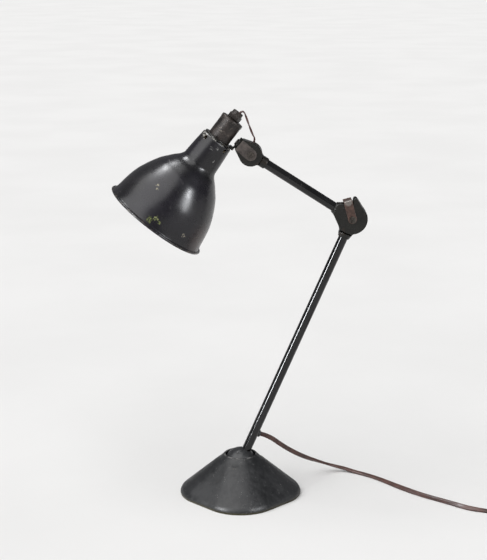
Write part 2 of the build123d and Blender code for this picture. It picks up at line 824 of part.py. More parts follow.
# It leaves the gland upward, bends over at once, and runs nearly straight to the hole in the rear cheek.
lead_top = shade.origin + shade.x_dir * lead_offset + shade.z_dir * gland_top
lead_start = lead_top - shade.z_dir * lead_in
lead_end = lead_frame.origin + lead_frame.z_dir * (pod_r - lead_hole_deep + lead_end_gap)
# steps from the head hinge
lead_way = [(-11.4, 0, 57.4), (-6.4, 0.3, 56.6), (-3.4, 1, 49.2), (-0.2, 2.9, 37.2), (3.6, 5.5, 25)]
lead_points = [lead_start, *[head + Vector(*step) for step in lead_way]]
lead_points += [lead_end + lead_frame.z_dir * lead_straight, lead_end]
lead_radii = corner_radii(lead_points)
with BuildPart() as head_lead:
    with BuildLine() as lead_line:
        FilletPolyline(*lead_points, radius=lead_radii)
    with BuildSketch(Plane(origin=lead_line.line @ 0, z_dir=lead_line.line % 0)):
        Circle(lead_r)
    sweep()
save(head_lead.part, "head_lead")

# ---------------------------------------------------------------- mains cord, coil and plug

cord_start = exit_origin + exit_way * (grommet_in + cord_in)
cord_lie = cord_r + floor_gap   # height of a lying cord's centre
hanging = [(61, 26, 57.5), (87, 46.5, 36), (113, 69, 19), (137, 80.5, 7.5)]
lying = [(163, 74), (194, 49.5), (222, 12.5), (250, -18.5), (282, -43), (309, -66),
         (335, -73.5), (357, -87.5), (377, -97), (396, -99.5)]
cord_points = [cord_start, exit_origin + exit_way * cord_straight]
cord_points += [Vector(*point) for point in hanging]
cord_points += [Vector(x, y, cord_lie) for x, y in lying]
cord_radii = corner_radii(cord_points)
with BuildPart() as mains_cord:
    with BuildLine() as cord_line:
        FilletPolyline(*cord_points, radius=cord_radii)
    with BuildSketch(Plane(origin=cord_line.line @ 0, z_dir=cord_line.line % 0)):
        Circle(cord_r)
    sweep()
save(mains_cord.part, "mains_cord")

with BuildPart() as mains_coil:
    with BuildSketch(Plane.XY.offset(floor_gap)):
        with Locations((coil_x, coil_y)):
            Circle(coil_mid_r + coil_wide / 2)
            Circle(coil_mid_r - coil_wide / 2, mode=Mode.SUBTRACT)
    extrude(amount=coil_high)
save(mains_coil.part, "mains_coil")

# The tail leaves the coil's right side and rises to the plug's sleeve.
tail_points = [
    Vector(435.2, -56, cord_lie),
    Vector(435.4, -38, cord_lie),
    Vector(431.6, -19, 5.2),
    Vector(427, -5, cord_height),
    Vector(plug_x, plug_y - sleeve_long, cord_height),
]
tail_radii = corner_radii(tail_points)
with BuildPart() as mains_tail:
    with BuildLine() as tail_line:
        FilletPolyline(*tail_points, radius=tail_radii)
    with BuildSketch(Plane(origin=tail_line.line @ 0, z_dir=tail_line.line % 0)):
        Circle(cord_r)
    sweep()
save(mains_tail.part, "mains_tail")

plug_mid = (plug_x, plug_y + plug_long / 2)
with BuildPart() as plug_cover:
    with BuildSketch(Plane.XY.offset(floor_gap)):
        with Locations(plug_mid):
            RectangleRounded(plug_wide, plug_long, plug_round)
    extrude(amount=plug_cover_thick)
    fillet(plug_cover.part.faces().sort_by(Axis.Z)[0].edges(), plug_back_round)
    with BuildSketch(Plane.XY.offset(floor_gap + plug_back)):
        with Locations(plug_mid):
            RectangleRounded(plug_wide - 2 * plug_wall, plug_long - 2 * plug_wall, plug_round - plug_wall)
    extrude(amount=plug_cover_thick, mode=Mode.SUBTRACT)
save(plug_cover.part, "plug_cover")

face_z = floor_gap + plug_cover_thick + face_gap
plug_screw_at = (plug_x, plug_y + plug_screw_inset)
with BuildPart() as plug_face:
    with BuildSketch(Plane.XY.offset(face_z)):
        with Locations(plug_mid):
            RectangleRounded(plug_wide, plug_long, plug_round)
        with Locations(plug_screw_at):
            Circle(plug_screw_r + seat_gap, mode=Mode.SUBTRACT)
    extrude(amount=plug_face_thick)
save(plug_face.part, "plug_face")

with BuildPart() as plug_pins:
    with BuildSketch(Plane.XY.offset(face_z + plug_face_thick)):
        with Locations(*[(plug_x + side_x * pin_pitch / 2, plug_y + pin_inset) for side_x in (-1, 1)]):
            Rectangle(pin_wide, pin_thick)
    extrude(amount=pin_long)
    with BuildSketch(Plane.XY.offset(face_z + plug_face_thick)):
        with Locations((plug_x, plug_y + pin_inset + pin_pitch)):
            Rectangle(pin_thick, earth_wide)
    extrude(amount=earth_long)
save(plug_pins.part, "plug_pins")

screw_face = face_z + plug_face_thick - plug_screw_recess   # the screw's outer end
with BuildPart() as plug_screw:
    with BuildSketch(Plane.XY.offset(floor_gap + plug_back)):
        with Locations(plug_screw_at):
            Circle(plug_screw_shank_r)
    extrude(amount=screw_face - floor_gap - plug_back)
    with BuildSketch(Plane.XY.offset(screw_face - plug_screw_head)):
        with Locations(plug_screw_at):
            Circle(plug_screw_r)
    extrude(amount=plug_screw_head)
save(plug_screw.part, "plug_screw")

sleeve_frame = Plane(origin=(plug_x, plug_y - sleeve_long, cord_height), x_dir=(1, 0, 0), z_dir=(0, 1, 0))
with BuildPart() as plug_sleeve:
    with BuildSketch(sleeve_frame):
        Circle(sleeve_tip_r)
    with BuildSketch(sleeve_frame.offset(sleeve_long)):
        Circle(sleeve_r)
    loft()
save(plug_sleeve.part, "plug_sleeve")

for title, line, solid, radius, radii in (
    ("head lead", lead_line.line, head_lead.part, lead_r, lead_radii),
    ("mains cord", cord_line.line, mains_cord.part, cord_r, cord_radii),
    ("mains tail", tail_line.line, mains_tail.part, cord_r, tail_radii),
):
    length = sum(edge.length for edge in line.edges())
    section = pi * radius**2
    print(title, "length", round(length, 1))
    print("  volume over section x length", round(solid.volume / section / length, 4))
    print("  corner radii", [round(r, 1) for r in radii])
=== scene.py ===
"""Looks of the architect's desk lamp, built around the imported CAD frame. Metres, +Z up, -Y is the front."""
import json
import math

import bmesh
import bpy
from mathutils import Euler, Matrix, Vector, noise


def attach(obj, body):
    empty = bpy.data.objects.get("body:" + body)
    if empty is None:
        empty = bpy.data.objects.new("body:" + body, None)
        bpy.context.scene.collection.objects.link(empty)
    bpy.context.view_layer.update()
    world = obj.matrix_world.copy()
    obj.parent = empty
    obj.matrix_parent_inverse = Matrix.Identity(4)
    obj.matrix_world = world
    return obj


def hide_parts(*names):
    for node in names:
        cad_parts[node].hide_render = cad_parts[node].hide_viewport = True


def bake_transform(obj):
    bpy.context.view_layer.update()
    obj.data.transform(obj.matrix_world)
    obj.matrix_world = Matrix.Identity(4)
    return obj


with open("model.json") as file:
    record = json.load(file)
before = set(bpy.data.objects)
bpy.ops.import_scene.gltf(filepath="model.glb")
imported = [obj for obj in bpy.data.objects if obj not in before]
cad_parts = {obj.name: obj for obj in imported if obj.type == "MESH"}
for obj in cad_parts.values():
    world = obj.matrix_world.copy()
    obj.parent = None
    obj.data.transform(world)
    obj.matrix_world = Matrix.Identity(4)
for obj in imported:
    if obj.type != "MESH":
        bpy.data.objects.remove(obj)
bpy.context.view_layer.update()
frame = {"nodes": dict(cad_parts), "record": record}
nodes = frame["nodes"]
MM = 0.001

# ---------------------------------------------------------------- camera

CAMERA_PLACE = (0.0042, -1.834, 0.745)
CAMERA_TIP = 76.5   # degrees from straight down
camera_data = bpy.data.cameras.new("camera")
camera_data.lens = 90.0
camera_data.sensor_width = 36.0
camera_data.clip_start, camera_data.clip_end = 0.05, 900.0
camera = bpy.data.objects.new("camera", camera_data)
camera.location = CAMERA_PLACE
camera.rotation_euler = Euler((math.radians(CAMERA_TIP), 0, 0))
bpy.context.scene.collection.objects.link(camera)
bpy.context.scene.camera = camera


# ---------------------------------------------------------------- small helpers

def frame_at(origin, lean):
    """A matrix whose Z leans from upright toward +X by lean degrees, with Y across the lamp."""
    a = math.radians(lean)
    x = Vector((math.cos(a), 0, -math.sin(a)))
    z = Vector((math.sin(a), 0, math.cos(a)))
    m = Matrix((x, Vector((0, 1, 0)), z)).transposed().to_4x4()
    m.translation = Vector(origin)
    return m


# Where the CAD's hinges are: lengths in mm, leans in degrees from upright toward +X
BALL_HEIGHT = 44
LOWER_LENGTH, LOWER_LEAN = 376.2, 23.3
UPPER_LENGTH, UPPER_LEAN = 160.3, -57.5
STRAP_LEAN = -15   # used only to place the painted highlight on the strap's bend
SHADE_LEAN = 37.5
HINGE_REACH, HINGE_RISE = 46.1, 9.8   # from the shade's collar ring to the head hinge

BALL = Vector((0, 0, BALL_HEIGHT)) * MM
LOWER = frame_at(BALL, LOWER_LEAN)
ELBOW = LOWER @ Vector((0, 0, LOWER_LENGTH * MM))
LOWER_END = frame_at(ELBOW, LOWER_LEAN)
UPPER = frame_at(ELBOW, UPPER_LEAN)
STRAP = frame_at(ELBOW, STRAP_LEAN)
HEAD = UPPER @ Vector((0, 0, UPPER_LENGTH * MM))
TILT = frame_at(HEAD, SHADE_LEAN)
SHADE = frame_at(TILT @ (Vector((-HINGE_REACH, 0, -HINGE_RISE)) * MM), SHADE_LEAN)


def link(name, mesh):
    piece = bpy.data.objects.new(name, mesh)
    bpy.context.scene.collection.objects.link(piece)
    return piece


def from_bmesh(name, bm):
    mesh = bpy.data.meshes.new(name)
    bmesh.ops.recalc_face_normals(bm, faces=bm.faces)
    bm.to_mesh(mesh)
    bm.free()
    for face in mesh.polygons:
        face.use_smooth = True
    return link(name, mesh)


def settle(piece):
    """Applies the piece's modifiers to its mesh."""
    graph = bpy.context.evaluated_depsgraph_get()
    mesh = bpy.data.meshes.new_from_object(piece.evaluated_get(graph))
    piece.modifiers.clear()
    old, piece.data = piece.data, mesh
    bpy.data.meshes.remove(old)
    return piece


def rings(name, loops, close_ends=False, wrap=False):
    """A skin over loops of points, all the same length. wrap joins the last loop to the first."""
    bm = bmesh.new()
    rows = [[bm.verts.new(p) for p in loop] for loop in loops]
    n = len(rows[0])
    pairs = list(zip(rows, rows[1:])) + ([(rows[-1], rows[0])] if wrap else [])
    for a, b in pairs:
        for i in range(n):
            bm.faces.new((a[i], a[(i + 1) % n], b[(i + 1) % n], b[i]))
    if close_ends:
        bm.faces.new(rows[0])
        bm.faces.new(rows[-1])
    return from_bmesh(name, bm)


def lathe(name, at, profile, count=96, wrap=True, wobble=0.0):
    """A closed profile of (radius, height) in mm turned about the Z axis of at."""
    loops = []
    for r, h in profile:
        loop = []
        for i in range(count):
            a = 2 * math.pi * i / count
            way = Vector((math.cos(a), math.sin(a), 0))
            off = wobble * noise.noise(Vector((way.x * 2.1, way.y * 2.1, h * 0.035))) if wobble else 0
            loop.append(at @ ((way * (r + off) + Vector((0, 0, h))) * MM))
        loops.append(loop)
    return rings(name, loops, wrap=wrap, close_ends=not wrap)


def round_path(points, steps):
    """A smooth curve through points, by centripetal spans."""
    made = []
    ext = [points[0]] + list(points) + [points[-1]]
    for i in range(1, len(ext) - 2):
        p0, p1, p2, p3 = (Vector(p).to_2d() for p in ext[i - 1:i + 3])
        for k in range(steps):
            t = k / steps
            made.append(tuple(0.5 * ((2 * p1) + (p2 - p0) * t + (2 * p0 - 5 * p1 + 4 * p2 - p3) * t * t
                                     + (3 * p1 - p0 - 3 * p2 + p3) * t ** 3)))
    made.append(tuple(points[-1]))
    return made


def arc(cx, cy, r, start, end, steps=8):
    """Points on an arc, angles in degrees."""
    return [(cx + r * math.cos(math.radians(start + (end - start) * k / steps)),
             cy + r * math.sin(math.radians(start + (end - start) * k / steps))) for k in range(steps + 1)]


def copy_of(node, name):
    return link(name, nodes[node].data.copy())


def cast_from(name, node, voxel, smooth, extra=()):
    """A cast-looking piece: the CAD node's shape and any extra solids, joined, with soft edges."""
    piece = copy_of(node, name)
    if extra:
        bm = bmesh.new()
        bm.from_mesh(piece.data)
        for other in extra:
            bm.from_mesh(other.data)
            bpy.data.objects.remove(other)
        bm.to_mesh(piece.data)
        bm.free()
    mod = piece.modifiers.new("remesh", "REMESH")
    mod.mode = "VOXEL"
    mod.voxel_size = voxel * MM
    soft = piece.modifiers.new("smooth", "SMOOTH")
    soft.factor = 0.5
    soft.iterations = smooth
    settle(piece)
    for face in piece.data.polygons:
        face.use_smooth = True
    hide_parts(node)
    return piece


def dress(piece, material):
    piece.data.materials.clear()
    piece.data.materials.append(material)
    return piece


def soften(node, width):
    """Rounds a CAD node's sharp edges with a modifier, which leaves its mesh as it is."""
    mod = nodes[node].modifiers.new("edges", "BEVEL")
    mod.width = width * MM
    mod.segments = 3
    mod.limit_method = "ANGLE"
    mod.angle_limit = math.radians(40)
    mod.use_clamp_overlap = True
    mod.harden_normals = True


# ---------------------------------------------------------------- cords

def spline_points(name, points, resolution=6):
    """The smooth line of one open NURBS spline with these control points, as Blender evaluates it."""
    data = bpy.data.curves.new(name, "CURVE")
    data.dimensions = "3D"
    data.resolution_u = resolution
    spline = data.splines.new("NURBS")
    spline.points.add(len(points) - 1)
    for point, co in zip(spline.points, points):
        point.co = (*co, 1.0)
    spline.order_u = 3
    spline.use_endpoint_u = True
    route = link(name, data)
    graph = bpy.context.evaluated_depsgraph_get()
    mesh = bpy.data.meshes.new_from_object(route.evaluated_get(graph))
    line = [v.co.copy() for v in mesh.vertices]
    bpy.data.objects.remove(route)
    bpy.data.meshes.remove(mesh)
    return line


def twin_flex(name, line, lobe, spread, turn, drop=None, first_side=None):
    """A flat twin flex along line: two round cores side by side. turn(s) is its twist at length s in mm."""
    outline = []
    for side_sign in (1, -1):
        for k in range(9):
            a = math.radians(-118 + 236 * k / 8)
            outline.append((side_sign * (spread + lobe * math.cos(a)), side_sign * lobe * math.sin(a)))
    loops = []
    length = 0.0
    across = first_side
    for i, p in enumerate(line):
        way = (line[min(i + 1, len(line) - 1)] - line[max(i - 1, 0)]).normalized()
        length += (p - line[i - 1]).length / MM if i else 0
        if first_side is None:
            across = way.cross(Vector((0, 0, 1))).normalized()
        else:
            across = (across - way * across.dot(way)).normalized()
        up = across.cross(way)
        a = turn(length)
        wide = across * math.cos(a) + up * math.sin(a)
        thin = up * math.cos(a) - across * math.sin(a)
        middle = p.copy()
        if drop:
            middle.z -= drop(p, a)
        loops.append([middle + (wide * x + thin * y) * MM for x, y in outline])
    return rings(name, loops, close_ends=True)


CORD_R, CORD_LOBE, CORD_SPREAD = 3.25, 1.85, 1.4   # half its width, each core's radius, each core's offset
EXIT_ALONG, EXIT_TURN = 48, 30   # along the lower arm from the ball, and round it toward the back
EXIT_IN, EXIT_STRAIGHT = 4.8, 24
exit_a = math.radians(EXIT_TURN)
exit_along = LOWER @ Vector((0, 0, EXIT_ALONG * MM))
exit_way = LOWER.to_3x3() @ Vector((math.cos(exit_a), math.sin(exit_a), 0))
cord_exit = exit_along + exit_way * EXIT_IN * MM
LIE_HEIGHT = 3.3   # of a lying cord's middle
HANGING = [(61, 26, 57.5), (87, 46.5, 36), (113, 69, 19), (137, 80.5, 7.5)]
LYING = [(163, 74), (194, 49.5), (222, 12.5), (250, -18.5), (282, -43), (309, -66), (335, -73.5),
         (357, -87.5), (377, -97), (396, -99.5)]
cord_route = [cord_exit, exit_along + exit_way * EXIT_STRAIGHT * MM]
cord_route += [Vector(p) * MM for p in HANGING]
cord_route += [Vector((x, y, LIE_HEIGHT)) * MM for x, y in LYING]
COIL = Vector((397, -62, 0))
COIL_MID_R, COIL_LAYER = 35.8, 3.3    # its middle radius, and how far the layers stand apart
COIL_STEP, COIL_RISE = 18, 2.6        # degrees from point to point, and the climb in a turn
COIL_POINTS = 103
for k in range(COIL_POINTS):
    deg = -72 + COIL_STEP * k
    turns = (deg + 90) / 360
    phase = turns % 2.0
    edge = min(1.0, abs(phase - 1) / 0.1, (phase if phase < 1 else 2 - phase) / 0.1)
    lay = (1 if phase > 1 else -1) * (edge if turns > 0.1 else 0.5 * edge)
    reach = COIL_MID_R + COIL_LAYER * lay + 0.35 * math.sin(2.3 * turns + 0.8) * math.sin(0.9 * k)
    a = math.radians(deg)
    high = LIE_HEIGHT + COIL_RISE * turns
    cord_route.append((COIL + Vector((reach * math.cos(a), reach * math.sin(a), high))) * MM)
TAIL = [(438.2, -69.5, 14.4), (442.2, -55.5, 9.6), (441.4, -40, 4.7), (436.6, -24.5, 3.8), (430.4, -12.5, 6),
        (427, -5, 8), (427, 4, 8)]
cord_route += [Vector(p) * MM for p in TAIL]
cord_line = spline_points("mains_route", cord_route)


def cord_twist(s):
    """The flex turns over slowly and unevenly, and lies flat for most of its way."""
    return 0.45 * math.sin(s / 31) + 0.9 * math.sin(s / 74 + 0.6) + 0.5 * math.sin(s / 167 + 2.1)


def cord_drop(p, a):
    """How far the lying flex sinks so that it touches the floor however it is turned."""
    high = CORD_SPREAD * abs(math.sin(a)) + CORD_LOBE
    lying = max(0.0, min(1.0, (5.2 - p.z / MM) / 1.6))
    return (CORD_R - high) * MM * lying


mains_flex = twin_flex("mains_flex", cord_line, CORD_LOBE, CORD_SPREAD, cord_twist, cord_drop)
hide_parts("mains_cord", "mains_coil", "mains_tail")
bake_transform(mains_flex)


def strap_round(name, at, wide, high, width, thick):
    """A flat band round a bundle: at's Z runs along the bundle. Sizes in mm."""
    loops = []
    half = width / 2
    for k in range(72):
        a = 2 * math.pi * k / 72
        c, s = math.cos(a), math.sin(a)
        reach = (abs(c / wide) ** 4 + abs(s / high) ** 4) ** -0.25
        way = Vector((c, s, 0))
        loop = []
        for out_by, z in ((0, -half), (thick, 0.25 - half), (thick, half - 0.25), (0, half)):
            loop.append(at @ ((way * (reach + out_by) + Vector((0, 0, z))) * MM))
        loops.append(loop)
    return rings(name, loops, wrap=True)


TIE_TURN = 150                      # where it sits round the coil, in degrees
TIE_WIDE, TIE_HIGH = 7.1, 9.6       # half of what it goes round
TIE_RIBBON, TIE_THICK = 5.0, 0.5
tie_turn = math.radians(TIE_TURN)
tie_way = Vector((math.cos(tie_turn), math.sin(tie_turn), 0))
tie_at = Matrix((tie_way, Vector((0, 0, 1)), tie_way.cross(Vector((0, 0, 1))))).transposed().to_4x4()
tie_at.translation = (COIL + tie_way * COIL_MID_R + Vector((0, 0, TIE_HIGH + TIE_THICK + 0.05))) * MM
coil_tie = strap_round("coil_tie", tie_at, TIE_WIDE, TIE_HIGH, TIE_RIBBON, TIE_THICK)
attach(coil_tie, "swivel")

LEAD_LOBE, LEAD_SPREAD, LEAD_PITCH = 0.85, 0.55, 34
LEAD = [(-3.0, 0, 526.5), (0.9, 0, 531.6), (5.0, 0.3, 531.4), (7.8, 1.0, 524.2), (11.9, 2.9, 512.0),
        (16.4, 5.5, 500.3), (19.6672, 6.8, 494.7823), (17.2672, 6.8, 487.1823)]
lead_line = spline_points("lead_route", [Vector(p) * MM for p in LEAD], 12)
head_flex = twin_flex("head_flex", lead_line, LEAD_LOBE, LEAD_SPREAD,
                      lambda s: 0.9 + 2 * math.pi * s / LEAD_PITCH, first_side=Vector((0, 1, 0)))
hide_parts("head_lead")
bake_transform(head_flex)

# ---------------------------------------------------------------- floor and lights

floor_bm = bmesh.new()
bmesh.ops.create_grid(floor_bm, x_segments=1, y_segments=1, size=300)
floor = from_bmesh("floor", floor_bm)


def area_light(name, at, to, size, power, colour):
    """A window seen only as highlights, so that the floor stays evenly lit."""
    data = bpy.data.lights.new(name, "AREA")
    data.shape = "RECTANGLE"
    data.size, data.size_y = size
    data.energy = power
    data.color = colour
    light = bpy.data.objects.new(name, data)
    light.location = at
    light.rotation_euler = (Vector(to) - Vector(at)).to_track_quat("-Z", "Y").to_euler()
    light.visible_diffuse = False
    bpy.context.scene.collection.objects.link(light)


sun_data = bpy.data.lights.new("overhead", "SUN")
sun_data.energy = 3.2
sun_data.angle = math.radians(75)
sun = bpy.data.objects.new("overhead", sun_data)
sun.rotation_euler = Euler((math.radians(22), math.radians(-24), 0))
bpy.context.scene.collection.objects.link(sun)
area_light("window", (-1.9, -1.35, 0.62), (0, 0, 0.35), (0.28, 0.85), 60, (0.95, 0.97, 1.0))
area_light("front_window", (1.62, -1.38, 0.98), (0, 0, 0.42), (0.27, 0.9), 40, (0.95, 0.97, 1.0))
area_light("skylight", (-0.48, 0.27, 2.1), (0, 0, 0.4), (0.60, 0.40), 17, (0.97, 0.98, 1.0))

bpy.context.scene.view_settings.view_transform = "Standard"
world = bpy.data.worlds.new("studio")
bpy.context.scene.world = world
world.use_nodes = True
world.node_tree.nodes["Background"].inputs["Color"].default_value = (0.96, 0.97, 1.0, 1)
world.node_tree.nodes["Background"].inputs["Strength"].default_value = 0.22

# ---------------------------------------------------------------- materials


class Nodes:
    """A short way to write a procedural material. Every pattern reads the piece's own rest coordinates."""

    def __init__(self, name):
        self.material = bpy.data.materials.new(name)
        self.material.use_nodes = True
        self.tree = self.material.node_tree
        self.shader = self.tree.nodes["Principled BSDF"]
        self.at = self.new("ShaderNodeTexCoord").outputs["Object"]

    def new(self, kind, **settings):
        node = self.tree.nodes.new(kind)
        for key, value in settings.items():
            setattr(node, key, value)
        return node

    def link(self, value, socket):
        if isinstance(value, (int, float)):
            socket.default_value = value
        elif isinstance(value, (tuple, list)):
            socket.default_value = (*value, 1.0) if len(value) == 3 and socket.type == "RGBA" else value
        else:
            self.tree.links.new(value, socket)

    def noise(self, scale, detail=4.0, rough=0.55, stretch=None, distort=0.0, seed=0.0):
        """Noise with features about 1/scale metres across."""
        tex = self.new("ShaderNodeTexNoise")
        tex.inputs["Scale"].default_value = scale
        tex.inputs["Detail"].default_value = detail
        tex.inputs["Roughness"].default_value = rough
        tex.inputs["Distortion"].default_value = distort
        place = self.new("ShaderNodeMapping")
        place.inputs["Location"].default_value = (seed, seed * 1.7, -seed)
        if stretch:
            place.inputs["Scale"].default_value = stretch
        self.link(self.at, place.inputs["Vector"])
        self.link(place.outputs["Vector"], tex.inputs["Vector"])
        return tex.outputs["Fac"]

    def cells(self, scale, seed=0.0):
        tex = self.new("ShaderNodeTexVoronoi")
        tex.inputs["Scale"].default_value = scale
        place = self.new("ShaderNodeMapping")
        place.inputs["Location"].default_value = (seed, seed * 2.3, -seed)
        self.link(self.at, place.inputs["Vector"])
        self.link(place.outputs["Vector"], tex.inputs["Vector"])
        return tex.outputs["Distance"]

    def ramp(self, value, low, high, a=0.0, b=1.0):
        """Value from low to high becomes a to b, held at both ends."""
        step = self.new("ShaderNodeMapRange", clamp=True, interpolation_type="SMOOTHSTEP")
        for key, v in zip(("Value", "From Min", "From Max", "To Min", "To Max"), (value, low, high, a, b)):
            self.link(v, step.inputs[key])
        return step.outputs["Result"]

    def math(self, operation, a, b=0.0):
        node = self.new("ShaderNodeMath", operation=operation)
        self.link(a, node.inputs[0])
        self.link(b, node.inputs[1])
        return node.outputs[0]

    def mix(self, factor, a, b):
        node = self.new("ShaderNodeMix", data_type="RGBA")
        self.link(factor, node.inputs["Factor"])
        self.link(a, node.inputs[6])
        self.link(b, node.inputs[7])
        return node.outputs[2]

    def near(self, point, radius, soft=0.4, ragged=0.0):
        """1 within radius metres of a point, 0 outside, with a ragged edge."""
        gap = self.new("ShaderNodeVectorMath", operation="DISTANCE")
        self.link(self.at, gap.inputs[0])
        gap.inputs[1].default_value = point
        away = gap.outputs["Value"]
        if ragged:
            wander = self.math("SUBTRACT", self.noise(420, 3), 0.5)
            away = self.math("ADD", away, self.math("MULTIPLY", wander, ragged))
        return self.ramp(away, radius * (1 - soft), radius, 1.0, 0.0)

    def edges(self):
        """1 on convex edges of a dense mesh."""
        return self.ramp(self.new("ShaderNodeNewGeometry").outputs["Pointiness"], 0.53, 0.6)

    def height(self):
        """How far up a point is, in metres."""
        parts = self.new("ShaderNodeSeparateXYZ")
        self.link(self.at, parts.inputs[0])
        return parts.outputs["Z"]

    def along(self, at):
        """How far a point lies along the Z axis of at, in metres."""
        away = self.new("ShaderNodeVectorMath", operation="SUBTRACT")
        self.link(self.at, away.inputs[0])
        away.inputs[1].default_value = at.translation
        share = self.new("ShaderNodeVectorMath", operation="DOT_PRODUCT")
        self.link(away.outputs["Vector"], share.inputs[0])
        share.inputs[1].default_value = at.to_3x3() @ Vector((0, 0, 1))
        return share.outputs["Value"]

    def most(self, *values):
        total = values[0]
        for value in values[1:]:
            total = self.math("MAXIMUM", total, value)
        return total

    def finish(self, colour, rough, bump, height, metal=0.0, specular=0.5):
        """The bump is height metres deep where its pattern goes from 0 to 1."""
        self.link(colour, self.shader.inputs["Base Color"])
        self.link(rough, self.shader.inputs["Roughness"])
        self.link(metal, self.shader.inputs["Metallic"])
        self.shader.inputs["Specular IOR Level"].default_value = specular
        node = self.new("ShaderNodeBump")
        node.inputs["Strength"].default_value = 1.0
        node.inputs["Distance"].default_value = height
        self.link(bump, node.inputs["Height"])
        self.link(node.outputs["Normal"], self.shader.inputs["Normal"])
        return self.material


def specks(m, scale, size, amount, seed=0.0):
    """Small scattered chips: cells whose middle is kept where a slow noise allows."""
    dots = m.ramp(m.cells(scale, seed=seed), size * 0.55, size, 1.0, 0.0)
    allow = m.ramp(m.noise(scale * 0.31, 2, seed=seed + 3.1), 1 - amount, 1 - amount + 0.04)
    return m.math("MULTIPLY", dots, allow)


def base_paint():
    m = Nodes("base_paint")
    cast = m.noise(260, 5, 0.6)
    patches = m.noise(22, 4, 0.6, seed=2.0)
    colour = m.mix(m.ramp(patches, 0.35, 0.68), (0.007, 0.0075, 0.0085), (0.017, 0.0175, 0.019))
    colour = m.mix(m.math("MULTIPLY", m.ramp(m.noise(75, 5, 0.7, (1, 1, 0.25), seed=5.0), 0.52, 0.7), 0.5),
                   colour, (0.007, 0.007, 0.008))
    # the lip's top painted lighter in patches: a painted highlight on the lip
    lip = m.ramp(m.height(), 0.0566, 0.0576)
    worn = m.most(specks(m, 300, 0.19, 0.45, 1.0),
                  m.math("MULTIPLY", lip, m.ramp(m.noise(160, 4, seed=9.0), 0.44, 0.58)))
    # worn holds real chips and the lip's painted highlight, both painted grey
    colour = m.mix(m.math("MULTIPLY", worn, 0.8), colour, (0.17, 0.165, 0.16))
    dusty = m.math("MULTIPLY", m.ramp(m.height(), 0.0025, 0.0045, 1.0, 0.0),
                   m.ramp(m.noise(140, 4, seed=7.0), 0.35, 0.62, 0.25, 1.0))
    colour = m.mix(m.math("MULTIPLY", dusty, 0.5), colour, (0.070, 0.060, 0.030))
    knocks = m.math("MULTIPLY", m.near((0.022, -0.093, 0.008), 0.030, 0.8, 0.02),
                    m.ramp(m.noise(420, 4, 0.7, seed=13.0), 0.56, 0.62))
    colour = m.mix(m.math("MULTIPLY", knocks, 0.8), colour, (0.19, 0.185, 0.175))
    streaks = m.ramp(m.noise(150, 5, 0.7, (1, 1, 0.14), seed=11.0), 0.40, 0.62, -0.05, 0.10)
    rough = m.math("ADD", m.ramp(patches, 0.3, 0.7, 0.36, 0.48), streaks)
    rough = m.math("ADD", rough, m.math("MULTIPLY", worn, 0.15))
    height = m.math("SUBTRACT",
                    m.math("ADD", m.math("MULTIPLY", cast, 0.7), m.math("MULTIPLY", patches, 1.4)),
                    m.math("MULTIPLY", worn, 0.8))
    return m.finish(colour, rough, height, 0.00022)


def ball_paint():
    m = Nodes("ball_paint")
    patches = m.noise(60, 4, 0.6)
    colour = m.mix(m.ramp(patches, 0.35, 0.65), (0.013, 0.0135, 0.015), (0.026, 0.027, 0.029))
    rub = m.ramp(m.noise(210, 5, 0.7, (1, 1, 0.15)), 0.55, 0.72)
    colour = m.mix(m.math("MULTIPLY", rub, 0.4), colour, (0.10, 0.10, 0.105))
    return m.finish(colour, m.ramp(patches, 0.3, 0.7, 0.27, 0.38), m.noise(300, 3), 0.00006)


def gloss_paint(name, dark, light, low, high, chip, amount, seed, bluish=None, edge=0.0):
    """Old gloss enamel: slow colour change, fine scratches, chips down to chip, and rubbed edges."""
    m = Nodes(name)
    patches = m.noise(26, 4, 0.6, seed=seed)
    colour = m.mix(m.ramp(patches, 0.36, 0.66), dark, light)
    if bluish:
        colour = m.mix(m.ramp(m.noise(14, 3, seed=seed + 4), 0.42, 0.62, 0.0, 0.8), colour, bluish)
    scratch = m.ramp(m.noise(240, 6, 0.75, (1.0, 0.16, 0.5), 1.2, seed + 6), 0.60, 0.70)
    colour = m.mix(m.math("MULTIPLY", scratch, 0.22), colour, (0.16, 0.15, 0.15))
    worn = specks(m, 330, 0.15, amount, seed)
    if edge:
        worn = m.most(worn, m.math("MULTIPLY", m.edges(), m.ramp(
            m.noise(190, 4, seed=seed + 8), 0.48, 0.62, 0.0, edge)))
    colour = m.mix(worn, colour, chip)
    rough = m.math("ADD", m.ramp(m.noise(50, 5, 0.65, seed=seed + 2), 0.3, 0.7, low, high),
                   m.math("MULTIPLY", m.math("ADD", worn, scratch), 0.12))
    height = m.math("SUBTRACT", m.math("ADD", patches, m.math("MULTIPLY", m.noise(420, 3, seed=seed), 0.12)),
                    m.math("MULTIPLY", worn, 0.5))
    return m, colour, rough, height


def arm_paint():
    m, colour, rough, height = gloss_paint("arm_paint", (0.004, 0.004, 0.0045), (0.009, 0.009, 0.0095),
                                           0.08, 0.16, (0.10, 0.085, 0.07), 0.30, 1.5)
    return m.finish(colour, rough, height, 0.00005, specular=0.42)


def joint_paint():
    m, colour, rough, height = gloss_paint("joint_paint", (0.005, 0.005, 0.004), (0.013, 0.0125, 0.010),
                                           0.20, 0.36, (0.15, 0.12, 0.09), 0.36, 3.5, edge=0.5)
    brown = m.ramp(m.noise(85, 4, 0.6, seed=12.0), 0.55, 0.7)
    colour = m.mix(m.math("MULTIPLY", brown, 0.35), colour, (0.07, 0.045, 0.03))
    return m.finish(colour, rough, m.math("ADD", height, m.math("MULTIPLY", m.noise(330, 4), 0.5)), 0.00016,
                    specular=0.32)


def on_shade(r, turn, drop):
    """A point on the shade in metres: radius and drop in mm, turn in degrees from the shade's lower side."""
    a = math.radians(turn)
    return SHADE @ (Vector((r * math.cos(a), r * math.sin(a), -drop)) * MM)


